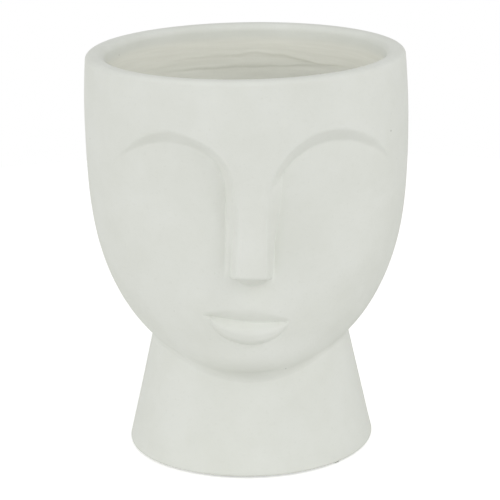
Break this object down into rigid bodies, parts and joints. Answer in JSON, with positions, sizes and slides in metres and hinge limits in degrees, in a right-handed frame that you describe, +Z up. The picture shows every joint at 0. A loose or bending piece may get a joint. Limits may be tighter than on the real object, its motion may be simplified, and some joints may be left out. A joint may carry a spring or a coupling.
{
  "type": "head planter",
  "caption": "Cast cement planter: an egg-shaped bowl with an abstract face in low relief on a flared hollow neck, with a lift-out rubber drain plug and felt pads.",
  "frame": {"origin": "on the pot's axis, on the surface that the felt pads stand on", "axes": "+Z up, the face looks along -Y, +X to the viewer's right when the face is seen from the front"},
  "size_m": [0.1584, 0.1611, 0.2],
  "materials": {
    "cast_cement": "matte",
    "mortar": "matte",
    "plug_rubber": "matte",
    "pad_felt": "matte"
  },
  "bodies": {
    "pot": {"head_bowl": "cast_cement", "neck_pedestal": "cast_cement", "mortar_ring": "mortar", "foot_pad_1": "pad_felt", "foot_pad_2": "pad_felt", "foot_pad_3": "pad_felt", "foot_pad_4": "pad_felt"},
    "plug": {"drain_plug": "plug_rubber"}
  },
  "joints": [
    {"name": "plug_lift", "type": "slide", "parent": "pot", "child": "plug", "axis": [0, 0, 1], "range_m": [0, 0.165]}
  ]
}
